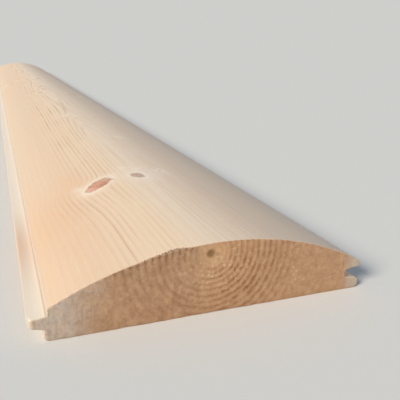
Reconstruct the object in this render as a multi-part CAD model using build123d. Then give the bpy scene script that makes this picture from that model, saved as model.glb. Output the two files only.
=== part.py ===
from build123d import *
import os

# Log cabin siding board: one softwood board with a round face, a tongue and a groove.
#
# It lies flat on its back. X runs across the board, from the tongue (-X) to the groove (+X), Y runs
# along it, and Z is up. The origin is under the middle of the board, on the plane of its back.
# Millimetres throughout.

# The board as it is sold
board_length = 2000.0
board_width = 185.0         # over everything, from the tip of the tongue to the tips of the lips
board_thickness = 40.0      # from the back to the top of the round face

# The grooved edge, from the back upwards
lower_lip = 5.8             # thickness at its tip
groove_mouth = 8.1          # height of the groove between the tips of the lips
upper_lip = 3.1             # thickness at its tip, where the round face ends
groove_depth = 9.5
groove_root = 4.6           # height of the groove at its root
groove_floor_rise = 2.0     # how far the floor of the groove climbs towards its root

# The tongued edge
tongue_length = 9.0         # past the front shoulder, the one that shows in a wall
expansion_gap = 2.0         # left open between two round faces when the backs of the boards meet
joint_clearance = 0.35      # between the tongue and the groove, above it and below it
tongue_top_fall = 0.7       # how far the top of the tongue drops from its root to its tip

# Small radii left by the moulding cutters
tongue_tip_radius = 1.2
groove_root_radius = 0.8
lip_tip_radius = 0.6
back_arris_radius = 2.5

# The front end of the tongue is worn round, by this much of its length and of its width
worn_corner_length = 6.5
worn_corner_width = 2.3

# Places across the board
tongue_tip_x = -board_width / 2
lip_tip_x = board_width / 2
front_shoulder_x = tongue_tip_x + tongue_length
back_shoulder_x = front_shoulder_x - expansion_gap
groove_root_x = lip_tip_x - groove_depth
crown_x = (front_shoulder_x + lip_tip_x) / 2

# Heights at the grooved edge
lip_underside_z = lower_lip + groove_mouth
edge_height = lip_underside_z + upper_lip
groove_floor_root_z = lower_lip + groove_floor_rise
groove_roof_root_z = groove_floor_root_z + groove_root

# The tongue goes this far into the next board's groove, and there it follows that groove's flanks
tongue_reach = tongue_length - expansion_gap
reach_share = tongue_reach / groove_depth
floor_at_tip_z = lower_lip + reach_share * groove_floor_rise
roof_at_tip_z = lip_underside_z - reach_share * (lip_underside_z - groove_roof_root_z)
tongue_foot_z = lower_lip + joint_clearance
tongue_tip_bottom_z = floor_at_tip_z + joint_clearance
tongue_tip_top_z = roof_at_tip_z - joint_clearance
tongue_root_top_z = tongue_tip_top_z + tongue_top_fall


def corner(sketch, x, z):
    """The corner of the section at this place, in the section's own plane."""
    return sketch.vertices().sort_by_distance((x, z))[0]


def moulded_section():
    """The section that the moulding cutters leave, seen from the front end.

    The round face is one arc over three points: the front shoulder, the top of the board and the
    upper lip. The grooved edge and the tongued edge are straight flanks between their corners.
    """
    front_end = Plane.XZ.offset(board_length / 2)
    with BuildSketch(front_end) as section:
        with BuildLine():
            ThreePointArc(
                (front_shoulder_x, edge_height),
                (crown_x, board_thickness),
                (lip_tip_x, edge_height),
            )
            Polyline(
                (lip_tip_x, edge_height),
                (lip_tip_x, lip_underside_z),
                (groove_root_x, groove_roof_root_z),
                (groove_root_x, groove_floor_root_z),
                (lip_tip_x, lower_lip),
                (lip_tip_x, 0),
                (back_shoulder_x, 0),
                (back_shoulder_x, tongue_foot_z),
                (tongue_tip_x, tongue_tip_bottom_z),
                (tongue_tip_x, tongue_tip_top_z),
                (front_shoulder_x, tongue_root_top_z),
                (front_shoulder_x, edge_height),
            )
        make_face()

        for x, z, radius in (
            (tongue_tip_x, tongue_tip_bottom_z, tongue_tip_radius),
            (tongue_tip_x, tongue_tip_top_z, tongue_tip_radius),
            (groove_root_x, groove_floor_root_z, groove_root_radius),
            (groove_root_x, groove_roof_root_z, groove_root_radius),
            (lip_tip_x, edge_height, lip_tip_radius),
            (lip_tip_x, lip_underside_z, lip_tip_radius),
            (lip_tip_x, lower_lip, lip_tip_radius),
            (lip_tip_x, 0, back_arris_radius),
            (back_shoulder_x, 0, back_arris_radius),
        ):
            fillet(corner(section, x, z), radius)
    return section.sketch


def worn_tongue_corner():
    """What is missing from the front end of the tongue, down through its whole height.

    Seen from above it is the corner outside a quarter of an ellipse.
    """
    front_end_y = -board_length / 2
    with BuildPart() as missing:
        with BuildSketch(Plane.XY):
            with BuildLine():
                wear = EllipticalCenterArc(
                    (tongue_tip_x + worn_corner_width, front_end_y + worn_corner_length),
                    worn_corner_width,
                    worn_corner_length,
                    start_angle=180,
                    arc_size=90,
                )
                Polyline(wear @ 0, (tongue_tip_x, front_end_y), wear @ 1)
            make_face()
        extrude(amount=edge_height)
    return missing.part


def siding_board():
    """The board: its section carried along its length and sawn square at both ends."""
    with BuildPart() as board:
        add(moulded_section())
        extrude(amount=board_length, dir=(0, 1, 0))
        add(worn_tongue_corner(), mode=Mode.SUBTRACT)
    return board.part


os.makedirs("parts", exist_ok=True)
export_step(siding_board(), "parts/siding_board.step")
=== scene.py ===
# %% [markdown]
# # A log cabin siding board
# This is one length of planed softwood, two metres long, that makes a wall look as if it were built
# of round logs. Its face is rounded, one edge has a tongue, the other has the groove that the next
# board's tongue goes into, and its back is flat. The solid comes from the board's CAD file and stays
# as it is. Here it gets what a solid can't say: the growth rings on its sawn end, the grain and the
# knots on its face, and the small marks of the saw and the planer.

# %% Load the board's solid
import math

import bpy
import numpy as np
from mathutils import Matrix, Vector
from mathutils.geometry import delaunay_2d_cdt


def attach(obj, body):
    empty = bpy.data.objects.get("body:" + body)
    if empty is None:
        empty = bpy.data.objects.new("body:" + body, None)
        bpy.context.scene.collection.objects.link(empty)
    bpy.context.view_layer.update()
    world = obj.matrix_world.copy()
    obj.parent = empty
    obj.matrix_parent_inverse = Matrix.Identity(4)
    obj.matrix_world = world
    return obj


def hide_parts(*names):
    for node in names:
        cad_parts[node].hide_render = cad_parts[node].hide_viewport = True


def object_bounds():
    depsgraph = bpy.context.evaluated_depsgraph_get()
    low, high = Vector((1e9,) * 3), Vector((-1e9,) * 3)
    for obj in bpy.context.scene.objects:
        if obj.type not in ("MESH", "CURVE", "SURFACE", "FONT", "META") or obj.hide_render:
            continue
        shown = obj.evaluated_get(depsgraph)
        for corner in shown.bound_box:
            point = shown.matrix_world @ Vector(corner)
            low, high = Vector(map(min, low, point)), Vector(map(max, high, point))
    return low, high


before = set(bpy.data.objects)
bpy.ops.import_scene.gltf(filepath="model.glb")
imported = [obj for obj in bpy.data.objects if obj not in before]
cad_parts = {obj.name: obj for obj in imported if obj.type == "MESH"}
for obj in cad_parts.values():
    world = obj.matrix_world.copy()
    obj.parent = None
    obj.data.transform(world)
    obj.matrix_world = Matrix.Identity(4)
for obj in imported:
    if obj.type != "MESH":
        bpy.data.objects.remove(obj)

MM = 0.001


def placed(name, data):
    """A new object with this mesh, lamp or camera, put into the scene."""
    thing = bpy.data.objects.new(name, data)
    bpy.context.scene.collection.objects.link(thing)
    return thing


cad_low, cad_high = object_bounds()
board_width, board_length, board_thickness = (cad_high - cad_low) / MM
print(f"The solid is {board_width:.0f} wide, {board_length:.0f} long and {board_thickness:.0f} mm thick.")

# %% [markdown]
# ## The camera
# The camera stands near the board's front end, a little to its left and about as high above it as
# a hand is wide, and looks along the board and slightly down. A camera can be aimed at an empty, but
# three angles are enough here: the heading turns it, the dip tips it down, and the roll leans it.
# One Blender unit is a metre, so a length in millimetres is multiplied by MM where it leaves a formula.

# %% Place the camera
camera_place = Vector((-97.4, -1202.6, 131.9)) * MM
camera_heading = math.radians(23.08)
camera_dip = math.radians(17.35)
camera_roll = math.radians(2.55)

camera_lens = bpy.data.cameras.new("camera")
camera_lens.lens = 43.64
camera_lens.shift_y = -0.0025
camera = placed("camera", camera_lens)
turn = Matrix.Rotation(-camera_heading, 4, "Z")
tip = Matrix.Rotation(math.radians(90) - camera_dip, 4, "X")
lean = Matrix.Rotation(camera_roll, 4, "Z")
camera.matrix_world = Matrix.Translation(camera_place) @ turn @ tip @ lean
bpy.context.scene.camera = camera
bpy.context.scene.view_settings.view_transform = "Standard"
print("The camera looks along the board from its front end.")

# %% [markdown]
# ## The section
# A moulder cuts the whole section in one pass, so every cross-section of the board is the same.
# That is why one outline, carried along the board, makes its whole skin. The outline has the sizes
# of the drawing: an arc for the round face, and straight flanks for the tongue and the groove with
# small radii at their corners. It runs clockwise as seen from the front end, starting at the top of
# the front shoulder.

# %% The sizes of the section
edge_height = 17
tongue_length = 9
expansion_gap = 2
groove_depth = 9.5

front_y, rear_y = -board_length / 2, board_length / 2
tongue_tip_x, lip_tip_x = -board_width / 2, board_width / 2
front_shoulder_x = tongue_tip_x + tongue_length
back_shoulder_x = front_shoulder_x - expansion_gap
groove_root_x = lip_tip_x - groove_depth

# Heights of the groove's floor and roof at the lips and the root, and of the tongue's two sides
floor_lip_z, floor_root_z = 5.8, 7.8
roof_lip_z, roof_root_z = 13.9, 12.4
under_root_z, under_tip_z = 6.15, 7.62
top_root_z, top_tip_z = 13.14, 12.44

lip_radius = 0.6
groove_root_radius = 0.8
tongue_tip_radius = 1.2
back_arris_radius = 2.5
front_shoulder_radius = 0.4

crown_x = (front_shoulder_x + lip_tip_x) / 2
half_face = (lip_tip_x - front_shoulder_x) / 2
face_rise = board_thickness - edge_height
face_radius = (half_face ** 2 + face_rise ** 2) / (2 * face_rise)
print(f"The round face is an arc of {face_radius:.1f} mm radius.")

# %% The corners of the section
# x, z and radius of each corner, from the tip of the upper lip round to the top of the front shoulder
edge_corners = np.array([
    (lip_tip_x, edge_height, lip_radius),
    (lip_tip_x, roof_lip_z, lip_radius),
    (groove_root_x, roof_root_z, groove_root_radius),
    (groove_root_x, floor_root_z, groove_root_radius),
    (lip_tip_x, floor_lip_z, lip_radius),
    (lip_tip_x, 0, back_arris_radius),
    (back_shoulder_x, 0, back_arris_radius),
    (back_shoulder_x, under_root_z, 0),
    (tongue_tip_x, under_tip_z, tongue_tip_radius),
    (tongue_tip_x, top_tip_z, tongue_tip_radius),
    (front_shoulder_x, top_root_z, 0),
    (front_shoulder_x, edge_height, front_shoulder_radius),
])


def face_height(x):
    """How high the round face stands at x: the height of its circle's centre plus that circle there."""
    return board_thickness - face_radius + np.sqrt(face_radius ** 2 - (x - crown_x) ** 2)


print(f"Besides the round face the section has {len(edge_corners)} corners.")

# %% Round the corners
def rounded(corners, steps=5):
    """The points of a closed outline with its corners rounded.

    A corner of radius r that turns by the angle t is cut back by r tan(t / 2) along both its runs.
    The arc between the two cuts swings round its centre in equal steps.
    """
    place, radius = corners[:, :2], corners[:, 2]
    back = np.roll(place, 1, axis=0) - place
    ahead = np.roll(place, -1, axis=0) - place
    back /= np.linalg.norm(back, axis=1)[:, None]
    ahead /= np.linalg.norm(ahead, axis=1)[:, None]
    turned = np.pi - np.arccos(np.clip((back * ahead).sum(axis=1), -1, 1))
    cut = (radius * np.tan(turned / 2))[:, None]
    inward = back + ahead
    inward /= np.maximum(np.linalg.norm(inward, axis=1), 1e-9)[:, None]
    centre = place + inward * (radius / np.cos(turned / 2))[:, None]
    share = np.linspace(0, 1, steps)[None, :, None]
    swing = np.maximum(turned, 1e-6)[:, None, None]
    from_start = np.sin((1 - share) * swing) / np.sin(swing)
    from_end = np.sin(share * swing) / np.sin(swing)
    start, end = place + back * cut - centre, place + ahead * cut - centre
    points = (centre[:, None] + start[:, None] * from_start + end[:, None] * from_end).reshape(-1, 2)
    fresh = np.linalg.norm(points - np.roll(points, 1, axis=0), axis=1) > 1e-4
    return points[fresh]


face_point_count = 196
face_x = np.linspace(front_shoulder_x, lip_tip_x, face_point_count)[1:-1]
face_points = np.column_stack([face_x, face_height(face_x), np.zeros_like(face_x)])
rounded_outline = rounded(np.vstack([edge_corners[-1:], face_points, edge_corners[:-1]]))
print(f"The rounded outline has {len(rounded_outline)} points.")

# %% Divide the runs
def divided(points, longest):
    """The same closed outline with each run cut into equal steps, none longer than longest."""
    ahead = np.roll(points, -1, axis=0)
    steps = np.ceil(np.linalg.norm(ahead - points, axis=1) / longest - 1e-6).astype(int)
    run = np.repeat(np.arange(len(points)), steps)
    step = np.arange(len(run)) - np.repeat(np.cumsum(steps) - steps, steps)
    share = (step / steps[run])[:, None]
    return points[run] * (1 - share) + ahead[run] * share


def inward_of(loop, blend=4):
    """The way into the wood at each point, blended over the points beside it.

    Square to the line between two neighbours is inwards. At a small corner those ways would meet in
    front of it, so each is the mean of the ways of the points around, which keeps them from crossing.
    """
    along = np.roll(loop, -1, axis=0) - np.roll(loop, 1, axis=0)
    square = np.column_stack([along[:, 1], -along[:, 0]])
    square /= np.linalg.norm(square, axis=1)[:, None]
    mean = sum(np.roll(square, k, axis=0) for k in range(-blend, blend + 1))
    return mean / np.linalg.norm(mean, axis=1)[:, None]


longest_step, longest_back_step = 1.3, 4
starts_on_back = rounded_outline[:, 1] < 1e-6
on_back = starts_on_back & np.roll(starts_on_back, -1)
outline = divided(rounded_outline, np.where(on_back, longest_back_step, longest_step))
outline_inward = inward_of(outline)
print(f"The section has {len(outline)} points.")

# %% [markdown]
# ## How the wood grew
# A board's pattern isn't on its surface: it is what the planer laid bare of the tree's inside. So the
# wood is described as a solid here, and each surface shows its own cut through it. Rings that cross
# the sawn end as circles run out along the face as lines, exactly where they should.
#
# The same formulas have to work twice: on numpy arrays, for the relief of the mesh, and as shader
# nodes, for the colour. Writing them twice would let the two drift apart. A Wire stands for the
# output of a shader node. Whenever numpy is asked to add, multiply or take the sine of one, the Wire
# adds the Math node that does so, so an ordinary formula builds its own nodes.

# %% Formulas that build shader nodes
MATH_NODE = {
    np.add: "ADD", np.subtract: "SUBTRACT", np.multiply: "MULTIPLY", np.divide: "DIVIDE",
    np.power: "POWER", np.sqrt: "SQRT", np.exp: "EXPONENT", np.sin: "SINE", np.floor: "FLOOR",
    np.minimum: "MINIMUM", np.maximum: "MAXIMUM", np.arctan2: "ARCTAN2",
}


def plug(tree, value, socket):
    """Joins a Wire to a socket, or types a plain number into it."""
    if isinstance(value, Wire):
        tree.links.new(value.socket, socket)
    else:
        socket.default_value = value


class Wire(np.lib.mixins.NDArrayOperatorsMixin):
    """The output of a shader node, which numpy's functions and the signs + - * / take as a number."""

    def __init__(self, socket):
        self.socket = socket

    def __array_ufunc__(self, ufunc, method, *values, **options):
        tree = self.socket.id_data
        node = tree.nodes.new("ShaderNodeMath")
        node.operation = MATH_NODE[ufunc]
        for value, socket in zip(values, node.inputs):
            plug(tree, value, socket)
        return Wire(node.outputs[0])


def fill(node, values):
    """Puts numbers or Wires into a node's inputs, by name."""
    for name, value in values.items():
        plug(node.id_data, value, node.inputs[name])
    return node


def add_node(tree, kind, **values):
    """A new shader node with its inputs filled."""
    return fill(tree.nodes.new(kind), values)


def limited(value):
    """The value kept between 0 and 1."""
    return np.minimum(np.maximum(value, 0), 1)


print(f"A formula may use {len(MATH_NODE)} kinds of sum.")

# %% [markdown]
# ### The pith and the rings
# The pith is the soft middle of the trunk, a few millimetres under the top of this board's round face
# at the front end. It sinks towards the rear, because no trunk is quite straight, and it sways a
# little. So the lines of the face start at the rings of the end and leave the face one by one.
# The ring number of a point grows with its distance from the pith. The first rings of a young tree
# are narrow steps apart, and further out each ring is a little wider, so the distance is divided by
# a ring width that grows with it.

# %% Ring numbers
pith_x, pith_z = -3.5, 33.9
sway_size, sway_length = -1.5, 420
sinking_depth, sinking_length = 31, 1100
dip_size, dip_length, dip_place = 3, 80, 385

ring_width, ring_widening = 2.7, 0.012
pith_share = 0.12


def pith_line(y):
    """Where the pith is at y, in x and z.

    It sways sideways as a sine, and sinks by depth (1 - exp(-along / length)) with the dips of another
    sine. All are nothing at the front end.
    """
    along = y - front_y
    sway = np.sin(along / sway_length) * sway_size
    sinking = np.exp(along * (-1 / sinking_length)) * sinking_depth - sinking_depth
    dip = np.sin((dip_place - along) / dip_length) * dip_size - math.sin(dip_place / dip_length) * dip_size
    return sway + pith_x, sinking + dip + pith_z


def pith_offsets(x, y, z):
    """How far a point is right of the pith, above it, and away from it in all."""
    middle_x, middle_z = pith_line(y)
    across, up = x - middle_x, z - middle_z
    return across, up, np.sqrt(across * across + up * up)


def trunk_radius(x, y, z):
    """Distance from the pith, made up to a sixtieth more or less by three and by five waves round it."""
    across, up, radius = pith_offsets(x, y, z)
    turned = np.arctan2(up, across)
    waves = np.sin(turned * 3 + 0.7) * 0.010 + np.sin(turned * 5 + y / 310) * 0.006
    return radius * (waves + 1)


def ring_number(radius):
    """How many rings lie inside this radius: the radius over a width that grows, less the pith's share."""
    return radius / (radius * ring_widening + ring_width) - pith_share


print(f"The widest part of the end is {ring_number(lip_tip_x - pith_x):.0f} rings from the pith.")

# %% [markdown]
# ### The knots
# A knot is a branch that the trunk grew round. Branches leave the pith in whorls, one whorl for each
# year's growth in height, and lean towards the tree's top, which is at the front end here. Each is a
# slim cone about a straight line, so a knot's outline on the face follows from how the face cuts that
# cone: long where the branch runs nearly level with the face, round where it comes straight out.
# Round a branch the rings bulge outwards with it. There the trunk radius is made smaller than it is,
# so that a ring has to go further out before it reaches its number. That bends the grain lines of
# the face round the knot.

# %% Where the branches are
# For each knot: the middle of its outline in x, y and z, the angle round the trunk that the branch
# points to (0 is to the right, 90 up), how far it leans to the front, its radius, the reach of the
# bulge that it makes in the rings, and how grey and dead its wood is. UP stands for the height of the
# round face. The ones with a radius under a millimetre are pin knots, hardly more than pale collars.
UP = None
knots = np.array([
    (-33.6, -867.4, UP, 155, 43, 6.4, 24, 0.15),
    (-4.4, -863.4, UP, 72, 52.7, 4.2, 12, 0.85),
    (16, -854, UP, 70, 50, 0.6, 4, 0.5),
    (18, -706, UP, 60, 50, 0.5, 4, 0.5),
    (-14, -541, UP, 104, 50, 0.9, 7, 0.1),
    (21, -893, 0, 302, 50, 6.5, 12, 0.2),
    (-36, -889, 0, 232, 48, 5, 11, 0.5),
    (6, -572, 0, 280, 50, 7, 12, 0.3),
    (38, -248, UP, 24, 46, 5.5, 12, 0.2),
    (-19, -230, UP, 128, 50, 4.5, 11, 0.6),
    (-24, -240, 0, 246, 50, 6, 12, 0.2),
    (7, 116, UP, 66, 52, 5.5, 11, 0.2),
    (-58, 92, UP, 172, 45, 6, 12, 0.4),
    (33, 102, 0, 318, 50, 6.5, 12, 0.2),
    (-12, 448, UP, 104, 54, 5, 10, 0.2),
    (52, 414, UP, 18, 45, 4.5, 10, 0.7),
    (-14, 440, 0, 255, 50, 6.5, 12, 0.3),
    (-36, 771, UP, 152, 48, 6, 12, 0.2),
    (18, 790, UP, 48, 52, 4, 9, 0.4),
    (10, 765, 0, 285, 50, 7, 12, 0.2),
], dtype=float)
on_face = np.isnan(knots[:, 2])
knots[on_face, 2] = face_height(knots[on_face, 0])
print(f"{on_face.sum()} knots show on the round face and {(~on_face).sum()} on the back.")

# %% Inside the knots
knot_taper = 0.05
bulge_lean = 0.3
bulge_share, largest_share = 0.19, 0.5


def outward(angle, lean):
    """The way that a line points: round the trunk by the angle, and to the front by the lean."""
    return (math.cos(lean) * math.cos(angle), -math.sin(lean), math.cos(lean) * math.sin(angle))


def hidden_length(place, out):
    """How far back along a line from the knot's outline the line passes closest to the pith."""
    middle_x, middle_z = pith_line(place[1])
    return ((place[0] - middle_x) * out[0] + (place[2] - middle_z) * out[2]) / (out[0] ** 2 + out[2] ** 2)


def knots_and_bulges(x, y, z):
    """How deep inside a knot a point is, how grey it is, how far out along it, and the bulges' share.

    v runs to the point from the middle of the knot's outline. Its distance from the branch's line is
    the root of |v| squared less (v . out) squared, and the depth is the cone's radius there less
    that distance. The bulge lies round a line that leans less, and its share falls with the distance
    from that line as exp(-(distance / reach)^2). Down the trunk the distance counts nearly twice,
    and up the trunk it counts half. Both start at the pith.
    """
    depth, grey, run, share = -1000, 0, 0, 0
    for knot in knots:
        place, (angle, lean), (radius, reach, greyness) = knot[:3], np.radians(knot[3:5]), knot[5:]
        out, swell = outward(angle, lean), outward(angle, lean * bulge_lean)
        over, along, up = x - place[0], y - place[1], z - place[2]
        squared = over * over + along * along + up * up

        outwards = over * out[0] + along * out[1] + up * out[2]
        off_line = np.sqrt(np.maximum(squared - outwards * outwards, 0))
        inside = outwards * knot_taper + radius - off_line
        inside = np.minimum(inside, outwards + hidden_length(place, out))
        covered = limited(inside * 0.8 + 0.5)

        swelling = over * swell[0] + along * swell[1] + up * swell[2]
        trunkwards = along - swelling * swell[1]
        stretched = np.maximum(trunkwards * 1.8, trunkwards * -0.5)
        beside = np.maximum(squared - swelling * swelling - trunkwards * trunkwards, 0)
        hidden = hidden_length(place, swell)
        started = limited(swelling * (1 / hidden) + 1)
        bulge = np.exp((beside + stretched * stretched) * (-1 / reach ** 2)) * started * started

        depth = np.maximum(inside, depth)
        grey = covered * greyness + grey
        run = covered * outwards + run
        share = bulge * bulge_share + share
    return depth, grey, run, np.minimum(share, largest_share)


print(f"Beside a branch the trunk radius is made smaller by up to {largest_share:.0%}.")

# %% [markdown]
# ### Early and late wood
# Each ring is pale, soft wood from the spring, which turns darker and harder through the summer and
# stops short at the winter. So its darkness is nothing at first, rises more and more steeply, and
# falls sharply in the last fifth of the ring.

# %% Late wood
def late_wood(number, start=0.42):
    """From 0 in the spring wood to 1 at the end of the summer, worked out from the ring number.

    The rise is the square of 1.15 times the share of the ring after start that has passed, and the
    fall is 5 times what is left of the ring. The lower one holds.
    """
    part = number - np.floor(number)
    rise = np.maximum(part - start, 0) * (1.15 / (1 - start))
    fall = (1 - part) * 5
    return np.minimum(rise * rise, np.minimum(fall, 1))


def inside_of_tree(x, y, z):
    """What the cut shows at a point: its ring number, and of a knot its depth, greyness and run."""
    depth, grey, run, share = knots_and_bulges(x, y, z)
    number = ring_number(trunk_radius(x, y, z) * (1 - share))
    return number, depth, grey, run


sample = inside_of_tree(np.array([20]), np.array([front_y]), np.array([10]))
print(f"A point low on the front end lies in ring {sample[0][0]:.1f}.")

# %% [markdown]
# ## The skin of the board
# The skin is a grid: one line of points round the section, repeated in rows along the board. The rows
# stand close together where there is something to show, at the front end and round the knots, and
# far apart in the plain stretches. A grid that is as fine everywhere as just behind the front end
# would need five times as many faces.

# %% Rows along the board
# Rows per mm in the plain stretches, over the front part, at the two ends and at the knots, and how
# far they reach
plain_rows, front_rows = 0.035, 0.60
front_end_rows, rear_end_rows = 3, 2
near_knot_rows, far_knot_rows = 0.32, 0.16
front_reach, end_reach, knot_reach = 75, 0.8, 38
# Knots this close together share their rows, and the ones before this y count as near
whorl_step, near_y = 60, -450


def row_places(step=0.1):
    """The y of each row. Rows per mm are added up along the board and read back at whole numbers."""
    y = np.arange(front_y, rear_y + step / 2, step)
    from_front, from_rear = y - front_y, rear_y - y
    rows_per_mm = plain_rows + front_rows / (1 + (from_front / front_reach) ** 4)
    rows_per_mm += front_end_rows * np.exp(-from_front / end_reach)
    for whorl_y in np.unique(np.round(knots[:, 1] / whorl_step)) * whorl_step:
        knot_rows = near_knot_rows if whorl_y < near_y else far_knot_rows
        rows_per_mm = np.maximum(rows_per_mm, knot_rows * np.exp(-((y - whorl_y) / knot_reach) ** 4))
    rows_per_mm += rear_end_rows * np.exp(-from_rear / end_reach)
    count = np.cumsum(rows_per_mm) * step
    count -= count[0]
    whole = np.linspace(0, count[-1], int(count[-1]) + 1)
    return np.interp(whole, count, y)


rows = row_places()
print(f"The skin has {len(rows)} rows.")

# %% [markdown]
# ### Saw, planer and fibres
# Real wood is never quite as flat as its drawing. The planer's knives leave low waves across the
# face. The harder late wood stands a few hundredths of a millimetre above the spring wood, and
# a knot is ringed by a fine groove. The saw leaves the end rough and its arrises ragged, and left of
# the pith it tore some fibres out of the round face. All of it goes inwards from the drawing's
# surface, so the board keeps its sizes.

# %% Smooth random heights
lattice_side = 128


def rough(u, v, seed):
    """Smooth random heights from -1 to 1: numbers on a square lattice, blended between its points.

    Between two points the blend is 3 t^2 - 2 t^3, where t is the share of the way.
    """
    lattice = np.random.default_rng(seed).uniform(-1, 1, (lattice_side, lattice_side))
    column, row = np.floor(u).astype(int), np.floor(v).astype(int)
    right, up = u - column, v - row
    right, up = right * right * (3 - 2 * right), up * up * (3 - 2 * up)

    def along_row(row):
        here = lattice[column % lattice_side, row % lattice_side]
        beside = lattice[(column + 1) % lattice_side, row % lattice_side]
        return here * (1 - right) + beside * right

    return along_row(row) * (1 - up) + along_row(row + 1) * up


print(f"The lattice repeats after {lattice_side} points.")

# %% Relief of the planed skin
# In mm. A swing goes this far to both sides of its mean.
knife_swing, knife_step = 0.015, 5.5
spring_depth = 0.05
rim_depth, rim_width = 0.09, 0.8
hollow_swing = 0.06
tear_depth = 0.25


def torn_out(x, y, z, number):
    """1 where the saw tore fibres out of the round face at the front arris, and 0 elsewhere.

    The tear reaches furthest left of the pith. Each ring gives it a tooth, so its edge is a comb.
    """
    left, far_left = (x + 22) / 7, (x + 34) / 8
    reach = np.exp(left * left * -1) * 3.2 + np.exp(far_left * far_left * -1) * 1.5
    teeth = np.sin(number * (2 * math.pi) + 1) * 0.12 + np.sin(x * 4.1) * 0.12 + 0.9
    over = (reach * teeth - (y - front_y)) * 1.2
    return limited(over) * limited(z - 20)


def planed_relief(x, y, z):
    """How far the planed skin lies under the drawing's surface, in mm."""
    number, depth, *_ = inside_of_tree(x, y, z)
    torn = tear_depth * torn_out(x, y, z, number)
    knife_waves = knife_swing * (1 + np.sin(y * 2 * np.pi / knife_step))
    spring_wood = spring_depth * (1 - late_wood(number))
    rim = rim_depth * np.exp(-(depth / rim_width) ** 2)
    hollow = hollow_swing * (1 + rough(x / 14, y / 90, 3))
    return knife_waves + spring_wood + rim + hollow + torn


print(f"The planer leaves a wave every {knife_step} mm.")

# %% Relief of the sawn ends
# In mm, as above
score_swing, score_step = 0.05, 3.1
fibre_swing, fibre_size = 0.05, 1.1
sawn_spring_depth = 0.09
pith_depth, pith_reach = 0.25, 2


def sawn_relief(x, z, end_y):
    """How far the sawn end at end_y lies behind the drawing's plane, in mm.

    The teeth leave slanting scores, the spring wood is torn deeper than the late wood, and the soft
    pith is crushed to a small pit.
    """
    number = inside_of_tree(x, np.full_like(x, end_y), z)[0]
    across, up = pith_offsets(x, end_y, z)[:2]
    slant = z * 0.97 + x * 0.26
    scores = score_swing * (1 + np.sin(slant * 2 * np.pi / score_step + rough(x / 30, z / 9, 5)))
    fibres = fibre_swing * (1 + rough(x / fibre_size, z / fibre_size, 6))
    torn = sawn_spring_depth * (1 - late_wood(number)) + fibres
    pith = pith_depth * np.exp(-((across ** 2 + up ** 2) / pith_reach ** 2) ** 2)
    return scores + torn + pith


print(f"The saw leaves a score every {score_step} mm.")

# %% [markdown]
# ### Carrying the section along the board
# Each row starts as the section's outline and moves inwards by the relief. Near the two ends it moves
# in a little more, by an uneven quarter round, which makes the ragged arris. The front corner of the
# tongue is worn away in a quarter of an ellipse, so its points are squeezed towards the shoulder.

# %% Worn edges
worn_length, worn_width = 6.5, 2.3


def arris(distance, size):
    """The fall of a quarter round of this size at a distance from the end: none beyond its size."""
    share = np.clip(1 - distance / size, 0, 1)
    return size * (1 - np.sqrt(1 - share ** 2))


def worn_tongue(x, y):
    """x with the tongue squeezed towards its shoulder where its front corner is worn away."""
    tip_x = tongue_tip_x + worn_width * arris(y - front_y, worn_length) / worn_length
    share = (front_shoulder_x - x) / (front_shoulder_x - tongue_tip_x)
    return np.where(x < front_shoulder_x, front_shoulder_x - share * (front_shoulder_x - tip_x), x)


print(f"The tongue's corner is worn over {worn_length} mm.")

# %% The skin's points
arris_size, small_chips, large_chips = 0.34, 0.14, 0.10
sawn_reach = 1.2


def skin_points():
    """The grid of points: for each row and each outline point, the outline moved inwards by the relief.

    Next to an end the sawn relief moves them along the board, and fades as exp(-distance / reach).
    """
    y, x = np.meshgrid(rows, outline[:, 0], indexing="ij")
    z = np.broadcast_to(outline[:, 1], x.shape)
    inward_x, inward_z = outline_inward.T
    from_front, from_rear = y - front_y, rear_y - y
    ragged = arris_size + small_chips * rough(x / 0.9, z / 0.9, 8) + large_chips * rough(x / 5, z / 5, 9)
    depth = planed_relief(x, y, z) + arris(from_front, ragged) + arris(from_rear, ragged)
    back = sawn_relief(x, z, front_y) * np.exp(-from_front / sawn_reach)
    back -= sawn_relief(x, z, rear_y) * np.exp(-from_rear / sawn_reach)
    return np.stack([worn_tongue(x + inward_x * depth, y), y + back, z + inward_z * depth], axis=-1)


skin = skin_points()
print(f"The skin has {skin.shape[0] * skin.shape[1]} points.")

# %% [markdown]
# ### The two sawn ends
# The ends close the skin. A fan of triangles from one middle point would be quick, but its slivers
# can't carry any relief. So points are strewn evenly over the section, those outside it are dropped,
# and Delaunay's triangles join them to the skin's own first and last rows. No seam is left between
# an end and the skin, because they share those points.

# %% Points and triangles of an end
def inside_outline(points, loop):
    """Whether each point lies in the loop: a ray to its right crosses the loop an odd number of times."""
    x, z = points[:, :1], points[:, 1:]
    start, end = loop, np.roll(loop, -1, axis=0)
    crosses = (start[:, 1] > z) != (end[:, 1] > z)
    rise = np.where(end[:, 1] == start[:, 1], 1, end[:, 1] - start[:, 1])
    crossing_x = start[:, 0] + (z - start[:, 1]) * (end[:, 0] - start[:, 0]) / rise
    return (crosses & (x < crossing_x)).sum(axis=1) % 2 == 1


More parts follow.
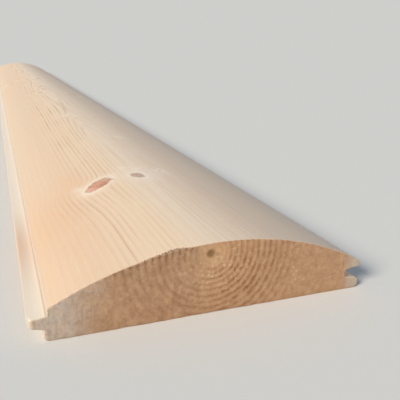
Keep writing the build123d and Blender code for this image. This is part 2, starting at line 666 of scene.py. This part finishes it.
def end_mesh(loop, spacing, seed):
    """The loop's points with even, slightly shaken points inside it, and the triangles between them."""
    row_step = spacing * math.sqrt(3) / 2
    across, up = np.arange(tongue_tip_x, lip_tip_x, spacing), np.arange(0, board_thickness, row_step)
    x, z = np.meshgrid(across, up)
    x[1::2] += spacing / 2
    strewn = np.column_stack([x.ravel(), z.ravel()])
    strewn += np.random.default_rng(seed).uniform(-0.2, 0.2, strewn.shape) * spacing
    strewn = strewn[inside_outline(strewn, loop)]
    nearest = np.sqrt(((strewn[:, None] - loop[None]) ** 2).sum(axis=2)).min(axis=1)
    strewn = strewn[nearest > spacing * 0.55]
    points = np.vstack([loop, strewn])
    corners_2d = [Vector(point) for point in points]
    loop_face = list(range(len(loop)))
    edges = list(zip(loop_face, loop_face[1:] + loop_face[:1]))
    made, _, triangles, *_ = delaunay_2d_cdt(corners_2d, edges, [loop_face], 1, 1e-7)
    print(f"Delaunay kept {len(made)} of {len(points)} points.")
    return points, np.array(triangles)


front_points, front_triangles = end_mesh(skin[0][:, [0, 2]], spacing=0.85, seed=11)
rear_points, rear_triangles = end_mesh(skin[-1][:, [0, 2]], spacing=2.4, seed=12)
print(f"The front end has {len(front_triangles)} triangles and the rear end {len(rear_triangles)}.")

# %% [markdown]
# ### One closed mesh
# The skin's quadrilaterals and the two ends go into one mesh, with all its faces pointing outwards.
# It has two materials, because sawn end grain and planed long grain look so different. Where faces
# meet at more than 38 degrees the shading breaks, which keeps the corners crisp.

# %% The faces
def skin_faces():
    """Four corners for each cell of the grid, the last column joined to the first.

    A cell goes on round the section first and then along the board, so that it faces outwards.
    """
    row_count, column_count = skin.shape[:2]
    row, column = np.meshgrid(np.arange(row_count - 1), np.arange(column_count), indexing="ij")
    right = (column + 1) % column_count
    first, second = row * column_count + column, (row + 1) * column_count + column
    third, fourth = (row + 1) * column_count + right, row * column_count + right
    return np.stack([first, fourth, third, second], axis=-1).reshape(-1, 4)


def strewn_places(points, y, side):
    """The strewn points of an end in space, set back by the sawn relief. The loop's own are left out."""
    x, z = points[loop_count:].T
    return np.column_stack([x, y + side * sawn_relief(x, z, y), z])


def cap(triangles, loop_start, strewn_start, side):
    """An end's triangles, numbered as in the whole mesh and each turned to face towards side in y."""
    strewn = triangles - loop_count
    numbers = np.where(strewn < 0, triangles + loop_start, strewn + strewn_start)
    a, b, c = (places[numbers[:, k]] for k in range(3))
    looks = np.sign(np.cross(b - a, c - a)[:, 1])
    return np.where((looks == side)[:, None], numbers, numbers[:, ::-1])


loop_count = skin.shape[1]
skin_count = skin.shape[0] * loop_count
front_strewn = strewn_places(front_points, front_y, 1)
rear_strewn = strewn_places(rear_points, rear_y, -1)
places = np.vstack([skin.reshape(-1, 3), front_strewn, rear_strewn])
front_cap = cap(front_triangles, 0, skin_count, -1)
rear_cap = cap(rear_triangles, skin_count - loop_count, skin_count + len(front_strewn), 1)
faces = skin_faces().tolist() + front_cap.tolist() + rear_cap.tolist()
print(f"The board has {len(faces)} faces.")

# %% Build the mesh
mesh = bpy.data.meshes.new("siding_board_wood")
mesh.from_pydata(places * MM, [], faces)
mesh.shade_smooth()
mesh.set_sharp_from_angle(angle=math.radians(38))
is_end = np.zeros(len(faces), dtype=np.int32)
is_end[-(len(front_cap) + len(rear_cap)):] = 1
mesh.polygons.foreach_set("material_index", is_end)
mesh.update()

board = placed("siding_board_wood", mesh)
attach(board, "root")
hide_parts("siding_board")
print(f"The board's mesh has {sum(len(face) - 2 for face in faces)} triangles.")

# %% [markdown]
# ## The colour of the wood
# Both materials read the tree's inside, so the functions that shaped the relief go into a node group
# that each of them uses.

# %% The tree's inside as a node group
def millimetres(tree):
    """Object coordinates in millimetres, as a vector and as the three numbers x, y and z."""
    coordinates = tree.nodes.new("ShaderNodeTexCoord")
    scaled = add_node(tree, "ShaderNodeVectorMath", Vector=Wire(coordinates.outputs["Object"]))
    scaled.operation = "SCALE"
    scaled.inputs["Scale"].default_value = 1 / MM
    place = Wire(scaled.outputs[0])
    split = add_node(tree, "ShaderNodeSeparateXYZ", Vector=place)
    return place, [Wire(socket) for socket in split.outputs]


def make_tree_group():
    """A node group whose outputs are the ring number and the depth, greyness and run of a knot."""
    group = bpy.data.node_groups.new("tree inside", "ShaderNodeTree")
    names = ("ring number", "knot depth", "knot grey", "knot run")
    for name in names:
        group.interface.new_socket(name, in_out="OUTPUT", socket_type="NodeSocketFloat")
    _, (x, y, z) = millimetres(group)
    results = inside_of_tree(x, y, z)
    output = group.nodes.new("NodeGroupOutput")
    for name, result in zip(names, results):
        plug(group, result, output.inputs[name])
    return group


tree_group = make_tree_group()
print(f"The group has {len(tree_group.nodes)} nodes.")

# %% [markdown]
# ### Colours, ramps and spots
# A material is built up as a painter would: coat over coat, each with a share from 0 to 1 that says
# how much of it covers at a point. Most shares are ramps across the board, or soft spots on it.

# %% Colours, ramps and spots
def new_material(name):
    """A new material, and its shader."""
    material = bpy.data.materials.new(name)
    material.use_nodes = True
    return material, material.node_tree.nodes["Principled BSDF"]


def srgb(red, green, blue):
    """A colour as a picture editor shows it, from 0 to 255, made the linear colour that a shader takes."""
    value = np.array([red, green, blue]) / 255
    linear = np.where(value <= 0.04045, value / 12.92, ((value + 0.055) / 1.055) ** 2.4)
    return (*linear.tolist(), 1)


def ramp(value, low, high):
    """0 where the value is under low, 1 where it is over high, and a straight rise between."""
    return limited((value - low) * (1 / (high - low)))


def spot(u, v, middle_u, middle_v, half_width, half_length):
    """A soft spot: exp(-(across^2 + along^2)), in half widths and half lengths from its middle."""
    across, along = (u - middle_u) / half_width, (v - middle_v) / half_length
    return np.exp((across * across + along * along) * -1)


print(f"A ramp from 2 to 6 has come to {ramp(3, 2, 6):.2f} at 3.")

# %% [markdown]
# ### A material in the making
# A noise texture, a coat and a bump all need the node tree and the place that is coloured. A small
# class holds these while a material is made, so that the materials themselves read like recipes.

# %% A material in the making
class Finish:
    """A material while it is made: its node tree, and what its shader knows of the point it colours.

    place is the point in mm, and x, y and z are its parts. number is its ring number, and depth, grey
    and run say how deep in a knot it lies, how grey that is and how far out along it.
    """

    def __init__(self, name):
        self.material, self.shader = new_material(name)
        self.tree = self.material.node_tree
        self.place, (self.x, self.y, self.z) = millimetres(self.tree)
        wood = self.tree.nodes.new("ShaderNodeGroup")
        wood.node_tree = tree_group
        self.number, self.depth, self.grey, self.run = [Wire(socket) for socket in wood.outputs]

    def noise(self, size, detail=2, roughness=0.5, moved=0):
        """A noise texture of 0 to 1 with blotches of about size mm: one for x, y and z, or one for all."""
        scale = 1 / np.broadcast_to(size, 3)
        mapping = add_node(
            self.tree, "ShaderNodeMapping", Vector=self.place, Scale=scale, Location=(moved, moved, moved))
        vector = Wire(mapping.outputs[0])
        texture = add_node(
            self.tree, "ShaderNodeTexNoise", Vector=vector, Scale=1, Detail=detail, Roughness=roughness)
        return Wire(texture.outputs["Fac"])

    def coated(self, colour, *coats):
        """The colour under its coats, the last on top. A coat is its share and its own colour."""
        for share, coat in coats:
            mix = self.tree.nodes.new("ShaderNodeMix")
            mix.data_type = "RGBA"
            under, over = [socket for socket in mix.inputs if socket.type == "RGBA"]
            plug(self.tree, share, mix.inputs["Factor"])
            plug(self.tree, colour, under)
            plug(self.tree, coat, over)
            colour = Wire([socket for socket in mix.outputs if socket.type == "RGBA"][0])
        return colour

    def complete(self, colour, roughness, refraction, bump, bump_distance):
        """Gives the shader its colour, its shine and a bump, and returns the material."""
        bumped = add_node(self.tree, "ShaderNodeBump", Distance=bump_distance * MM, Height=bump)
        normal = Wire(bumped.outputs["Normal"])
        values = {"Base Color": colour, "Roughness": roughness, "IOR": refraction, "Normal": normal}
        fill(self.shader, values)
        return self.material


print("A finish can be made now.")

# %% [markdown]
# ### Planed pine: the wood between the lines
# The planed face is cream. Broad warm and pale streaks run along its fibres. It is darker near the
# tongue, because the rest is painted paler as painted sheen, palest just left of the crown, and
# towards the groove it is painted cooler and darker, as painted shade. Two warmer stretches lie
# beside the large knot.

# %% The wood between the lines
def pine_ground(pine):
    """The colour of the planed wood without its lines and knots."""
    x, y = pine.x, pine.y
    broad = pine.noise((40, 420, 40), moved=2)
    streaks = pine.noise((3.5, 260, 3.5), 3, 0.6, moved=9)
    warm = srgb(236, 188, 148)
    return pine.coated(
        srgb(231, 206, 180),
        (ramp(broad, 0.35, 0.65), srgb(235, 205, 174)),
        # Painted sheen: from the tongue side to the middle the face is painted paler
        (ramp(x, -58, -22), srgb(250, 224, 194)),
        # Painted sheen: palest just left of the crown
        (ramp(x, -20, -4) * 0.38, srgb(250, 238, 226)),
        # Painted shade: cooler and darker towards the groove
        (ramp(x, 0, 34) * 0.85, srgb(228, 206, 186)),
        (spot(x, y, -72, -905, 16, 55) * 0.45, warm),
        (spot(x, y, -47, -850, 11, 30) * 0.35, warm),
        (ramp(streaks, 0.5, 0.75) * 0.4, srgb(236, 197, 166)),
    )


print("The wood between the lines has its colour.")

# %% [markdown]
# ### Planed pine: the lines
# The late wood shows as fine tan lines. Their strength is a product of shares, one for each thing that
# weakens a line. Some years leave a strong line and others hardly any. The innermost and outermost
# rings are faint, and so is the side towards the groove. Lines are worn away in patches, a knot's
# collar has hardly any, and a few stretches are plain. Only a fan beside the large knot stays strong.

# %% The lines
def grain_lines(pine):
    """How strongly a line shows at a point, and the late wood that it comes from."""
    x, y = pine.x, pine.y
    sway = pine.noise((9, 240, 9), 3) - 0.5
    wander = pine.noise((3, 45, 3), moved=8) - 0.5
    number = pine.number + sway * 0.5 + wander * 0.3
    late = late_wood(number, 0.34)

    year = np.sin(np.floor(number) * 2.4 + 0.6) * 0.28 + 0.64
    middling = (ramp(number, 2.6, 5) * 0.75 + 0.25) * (1 - ramp(number, 13, 15.5) * 0.88)
    left_side = 1 - ramp(x, -10, 14) * 0.78
    unworn = ramp(pine.noise((12, 75, 12), 3, moved=4), 0.36, 0.62) * 0.8 + 0.2
    off_knots = ramp(pine.depth * -1, 1, 9) * 0.8 + 0.2

    beside_knot = spot(x, y, -64, -868, 17, 38)
    between_knots = spot(x, y, -14, -876, 19, 25)
    lined = np.maximum(1 - beside_knot * 0.85 - between_knots * 0.8, 0)
    lined = lined * (1 - spot(x, y, -44, -950, 9, 75) * 0.45)
    lined = lined * (1 - ramp(y, -850, -790) * ramp(x * -1, 46, 54) * 0.8)
    lined = lined * (1 - spot(x, y, -18, -985, 13, 55) * 0.75)

    fan = spot(x, y, -56, -893, 9, 20)
    strength = year * middling * left_side * unworn * off_knots * lined + fan * 0.4
    return late * strength, late


print("The lines follow the rings.")

# %% [markdown]
# ### Planed pine: the knots
# A knot is red-brown with fine rings of its own, and its rim is dark in places. A dead one is greyer.
# A pale collar of dense wood surrounds it. The large knot of the face has a speck of bark at its inner
# tip, a stain on its front side and a pink outer tip.

# %% The knots
def knots_over(pine, under):
    """The collars and the knots over a colour."""
    x, y = pine.x, pine.y
    ragged = pine.noise((2.4, 2.8, 2.4), 2, 0.6, moved=6)
    stains = pine.noise((5, 8, 5), moved=5)
    depth = pine.depth + (stains - 0.5) * 2.2 + (ragged - 0.5) * 2.2
    collar = np.exp(np.minimum(depth + 0.8, 0) * 0.45)
    fine_rings = np.sin(depth * 4.4) * 0.5 + 0.5
    stained = ramp(stains, 0.5, 0.66)
    from_rim = depth - 0.9
    rim = np.exp(from_rim * from_rim * -1.2) * ramp(ragged, 0.38, 0.6)
    red = pine.coated(
        srgb(230, 164, 130),
        (fine_rings * 0.5, srgb(190, 120, 86)),
        (stained * 0.6, srgb(170, 108, 78)),
        (ramp(pine.run, 5, 11) * 0.9, srgb(250, 192, 168)),
        (ramp(pine.run * -1, 2, 9) * 0.8, srgb(236, 188, 160)),
    )
    dead = pine.coated(
        srgb(210, 188, 174),
        (fine_rings * 0.5, srgb(170, 146, 133)),
        (stained * 0.5, srgb(212, 192, 178)),
    )
    core = pine.coated(red, (np.minimum(pine.grey, 1), dead), (rim * 0.45, srgb(166, 114, 86)))
    return pine.coated(
        under,
        (collar * 0.92, srgb(255, 241, 220)),
        (ramp(depth, -0.9, 0.9), core),
        (spot(x, y, -24.2, -863.8, 2, 2.4) * 0.6, srgb(168, 134, 104)),
        (spot(x, y, -32.5, -872.2, 3.4, 1.5) * 0.55, srgb(178, 126, 94)),
        (spot(x, y, -41.5, -874.4, 2.6, 1.8) * 0.5, srgb(246, 184, 166)),
    )


print(f"{len(knots)} knots have their colours.")

# %% [markdown]
# ### Planed pine: the arris and the tongue
# At the front arris the torn fibres are brown, darkest in the late wood, and the rest of the arris is
# painted darker, as painted shade that tones down the lamp's highlight there. Past the shoulder the
# tongue is painted greyer than the face, as painted shade where the lamp strikes it square, its top
# is painted paler, as painted light, one stretch of it is painted rosy, as painted shade, and its
# worn corner is painted darker, as painted shade that tones down the lamp's light.

# %% The arris and the tongue
def edges_over(pine, under):
    """The front arris and the tongue over a colour."""
    x, y, z = pine.x, pine.y, pine.z
    left, from_front = x * -1, y - front_y
    torn = torn_out(x, y, z, pine.number)
    torn_late = late_wood(pine.number, 0.3)
    torn_colour = pine.coated(srgb(156, 116, 84), (torn_late, srgb(98, 62, 40)))
    past_shoulder = ramp(left, 82.7, 83.4)
    painted_light_tongue_top = ramp(left, 84, 84.6) * (1 - ramp(left, 91, 92.2)) * ramp(z, 11.3, 12.1)
    rosy_painted_shade = spot(x, y, -91, -910, 7, 44) * past_shoulder
    worn_side = ramp(left, 88.5, 90) * ramp(z * -1, -12.5, -12.1)
    worn_corner_painted_shade = worn_side * (1 - ramp(from_front, 3, worn_length))
    arris_painted_shade = (1 - ramp(from_front, 0.2, 0.7)) * (1 - torn)
    return pine.coated(
        under,
        (torn * (torn_late * 0.15 + 0.8), torn_colour),
        # Painted shade: the tongue's faces past the shoulder, which face the lamp, are painted greyer
        (past_shoulder, srgb(213, 196, 178)),
        # Painted light: the tongue's top is painted paler
        (painted_light_tongue_top, srgb(248, 236, 219)),
        # Painted shade: a rosy stretch along the tongue
        (rosy_painted_shade * 0.8, srgb(230, 190, 162)),
        # Painted shade: the worn corner is painted darker where the lamp strikes it
        (worn_corner_painted_shade * 0.6, srgb(204, 188, 170)),
        # Painted shade: the front arris is painted darker to tone down the lamp's highlight
        (arris_painted_shade * 0.75, srgb(198, 170, 142)),
    )


print("The arris and the tongue have their colour.")

# %% [markdown]
# ### Planed pine, put together
# Over the ground and the lines lie fibres too fine to tell apart, and a pale place beside each of the
# two front knots. The surface has a low shine, and a bump of at most a twentieth of a millimetre,
# because the mesh itself carries the rest.

# %% Planed pine
def planed_pine():
    """The long grain: planed, untreated pine."""
    pine = Finish("planed pine")
    x, y = pine.x, pine.y
    fibres = pine.noise((0.35, 14, 0.35), 2, 0.7)
    line, late = grain_lines(pine)
    colour = pine.coated(
        pine_ground(pine),
        (line, srgb(186, 132, 96)),
        (ramp(fibres, 0.45, 0.75) * 0.13, srgb(192, 152, 120)),
        (spot(x, y, -48, -866, 4, 6) * 0.5, srgb(250, 238, 222)),
        (spot(x, y, -1, -863.5, 13, 13) * 0.65, srgb(250, 232, 220)),
    )
    colour = edges_over(pine, knots_over(pine, colour))
    bump = fibres * 0.7 + late * 0.3
    return pine.complete(colour, roughness=0.45, refraction=1.5, bump=bump, bump_distance=0.05)


mesh.materials.append(planed_pine())
print("The planed faces have their colour.")

# %% [markdown]
# ### Sawn end grain: the wood between the rings
# A sawn end shows the open ends of the fibres, which swallow light, so it is darker and more orange
# than the planed face. The wood round the pith is yellower, and right of it more orange. Towards the
# tongue the end has greyed, and low on it the wood is a little darker.

# %% The wood between the rings
def end_ground(end, blotches, on_left):
    """The colour of the sawn end without its rings."""
    x, z = end.x, end.z
    across, up, from_pith = pith_offsets(x, end.y, z)
    greyed = ramp(x * -1 + blotches * 26, 68, 92)
    below = up + 8
    young = np.exp((across * across + below * below * 0.6) * -0.012)
    orange = np.exp(from_pith * from_pith * -0.0009) * (1 - on_left)
    low = ramp(z * -1, -17, -4) * (1 - ramp(x, -5, 40) * 0.8) * ramp(x, -74, -60)
    return end.coated(
        srgb(197, 156, 121),
        (on_left, srgb(194, 155, 122)),
        (ramp(blotches, 0.4, 0.7) * 0.45, srgb(188, 143, 108)),
        (greyed * 0.85, srgb(206, 193, 181)),
        (young * 0.5, srgb(210, 178, 138)),
        (orange * 0.6, srgb(222, 172, 128)),
        (low * 0.2, srgb(146, 108, 78)),
    )


print("The wood between the rings has its colour.")

# %% [markdown]
# ### Sawn end grain: the rings
# The rings are plain to see at a middling distance from the pith, strongest below it on the right, and
# broken up where the saw has smeared them. Left of the pith they end as a dark comb close under the
# round face.

# %% The rings
def rings_over(end, blotches, on_left, under):
    """The rings over a colour. A line is part sine and part late wood, and fades with its distance."""
    x, z = end.x, end.z
    across, up, from_pith = pith_offsets(x, end.y, z)
    shaken = end.noise(2.6, 2, 0.6, moved=2)
    number = end.number + (blotches - 0.5) * 0.4 + (shaken - 0.5) * 0.38
    swing = np.sin(number * (2 * math.pi) - 1.3 * math.pi) * 0.5 + 0.5
    late = swing * 0.6 + late_wood(number, 0.2) * 0.4

    low_right = np.maximum((across - up) / np.maximum(from_pith, 1) * math.sqrt(0.5), 0)
    unbroken = ramp(end.noise(3.5, 2, 0.6, moved=12), 0.32, 0.6) * 0.7 + 0.55
    seen = ramp(from_pith, 6.5, 12.5) * (1 - ramp(from_pith, 34, 58) * 0.9)
    seen = seen * (low_right * low_right * low_right * 0.6 + 0.5) * unbroken
    seen = seen * (1 - ramp(x * -1, 46, 64) * 0.8)
    under_face = np.maximum(face_height(x) - z, 0)
    comb = np.exp(under_face * -0.35) * ramp(from_pith, 5, 9) * (1 - ramp(from_pith, 44, 58))
    return end.coated(
        under,
        (late * seen * (blotches * 0.6 + 0.45), srgb(146, 94, 60)),
        (late * comb * (on_left * 0.8 + 0.2), srgb(98, 58, 34)),
    )


print("The end has its rings.")

# %% [markdown]
# ### Sawn end grain, put together
# Over the rings lie the saw's scores, tufts of torn fibre that catch the light as small pale specks,
# and clouds of lighter and darker wood. The lips beside the groove are paler, and the lowest
# millimetre is darker. The pith is a brown spot, nearly 5 mm across, with a paler middle.

# %% Sawn end grain
def sawn_end():
    """The end grain: rings, torn fibres, a grey side and the pith."""
    end = Finish("sawn end grain")
    x, z = end.x, end.z
    blotches = end.noise(14, moved=3)
    specks = end.noise(1.7, 2, 0.6, moved=7)
    fine = end.noise(0.45, 2, 0.7, moved=1)
    clouds = end.noise(4.5, 2, 0.55, moved=14)
    scores = end.noise((1.5, 12, 12), 2, 0.6, moved=8)
    on_left = ramp(x * -1 + blotches * 10, 5, 22)
    sparkling = spot(x, z, 2, 24, 13, 11) + spot(x, z, 48, 17, 5, 16) * 0.6
    from_pith = pith_offsets(x, end.y, z)[2]
    bend = from_pith * from_pith * 0.172

    colour = rings_over(end, blotches, on_left, end_ground(end, blotches, on_left))
    colour = end.coated(
        colour,
        (ramp(scores, 0.5, 0.7) * on_left * 0.22, srgb(146, 112, 86)),
        (ramp(specks, 0.57, 0.66) * (sparkling * 0.6 + 0.15), srgb(240, 208, 168)),
        (ramp(specks * -1, -0.46, -0.36) * 0.16, srgb(140, 98, 68)),
        (ramp(clouds, 0.5, 0.68) * 0.28, srgb(222, 182, 142)),
        (ramp(clouds * -1, -0.48, -0.32) * 0.24, srgb(152, 108, 74)),
        (ramp(fine, 0.5, 0.8) * 0.2, srgb(134, 98, 70)),
        (ramp(x, 80, 88) * 0.8, srgb(198, 185, 170)),
        (np.exp(np.maximum(z, 0) * -0.8) * 0.55, srgb(148, 122, 94)),
        (np.exp(bend * bend * -1) * 0.92, srgb(138, 102, 64)),
        (np.exp(from_pith * from_pith * -2.5) * 0.5, srgb(160, 126, 84)),
    )
    bump = specks * 0.7 + fine * 0.3
    return end.complete(colour, roughness=0.85, refraction=1.35, bump=bump, bump_distance=0.25)


mesh.materials.append(sawn_end())
print("The sawn ends have their colour.")

# %% [markdown]
# ## Floor, background and light
# The board lies on a pale floor that reaches far beyond it. What the camera sees past the floor is
# the world, which gets the floor's own lit colour for the camera, so that no line shows where the
# floor ends. One wide lamp stands for the window on the left. Its light is warm, and the world's is
# cooler, so the left of the round face is sunny and the right falls into soft shade.

# %% Floor
floor_side = 60
corner_places = np.array([(-1, -1, 0), (1, -1, 0), (1, 1, 0), (-1, 1, 0)]) * floor_side / 2
floor_mesh = bpy.data.meshes.new("floor")
floor_mesh.from_pydata(corner_places, [], [(0, 1, 2, 3)])
floor = placed("floor", floor_mesh)

floor_material, floor_shader = new_material("pale floor")
floor_colour = (0.80, 0.80, 0.79)
fill(floor_shader, {"Base Color": (*floor_colour, 1), "Roughness": 1, "Specular IOR Level": 0})
floor_mesh.materials.append(floor_material)
print(f"The floor is {floor_side:.0f} m square.")

# %% Lamp and world
lamp_direction = Vector((-0.80, -0.36, 0.48)).normalized()
lamp_strength = 3.6
lamp_colour = np.array([1, 0.92, 0.80])
world_strength = 0.32
world_colour = np.array([0.70, 0.84, 1])

lamp_data = bpy.data.lights.new("window", "SUN")
lamp_data.energy = lamp_strength
lamp_data.color = lamp_colour
lamp_data.angle = math.radians(22)
lamp = placed("window", lamp_data)
lamp.rotation_euler = lamp_direction.to_track_quat("Z", "Y").to_euler()

floor_light = lamp_colour * lamp_strength / math.pi * lamp_direction.z + world_colour * world_strength
background = np.array(floor_colour) * floor_light

world = bpy.data.worlds.new("room")
bpy.context.scene.world = world
world.use_nodes = True
tree = world.node_tree
tree.nodes.clear()
ray = tree.nodes.new("ShaderNodeLightPath")
seen = np.maximum(Wire(ray.outputs["Is Camera Ray"]), Wire(ray.outputs["Is Glossy Ray"]))
seen = np.maximum(seen, Wire(ray.outputs["Is Transmission Ray"]))
either = tree.nodes.new("ShaderNodeMixShader")
tree.links.new(seen.socket, either.inputs["Fac"])
for number, colour, strength in ((1, world_colour, world_strength), (2, background, 1)):
    glow = add_node(tree, "ShaderNodeBackground", Color=(*colour, 1), Strength=strength)
    tree.links.new(glow.outputs[0], either.inputs[number])
output = tree.nodes.new("ShaderNodeOutputWorld")
tree.links.new(either.outputs[0], output.inputs["Surface"])
print(f"The background is {background.round(2)} in linear colour.")
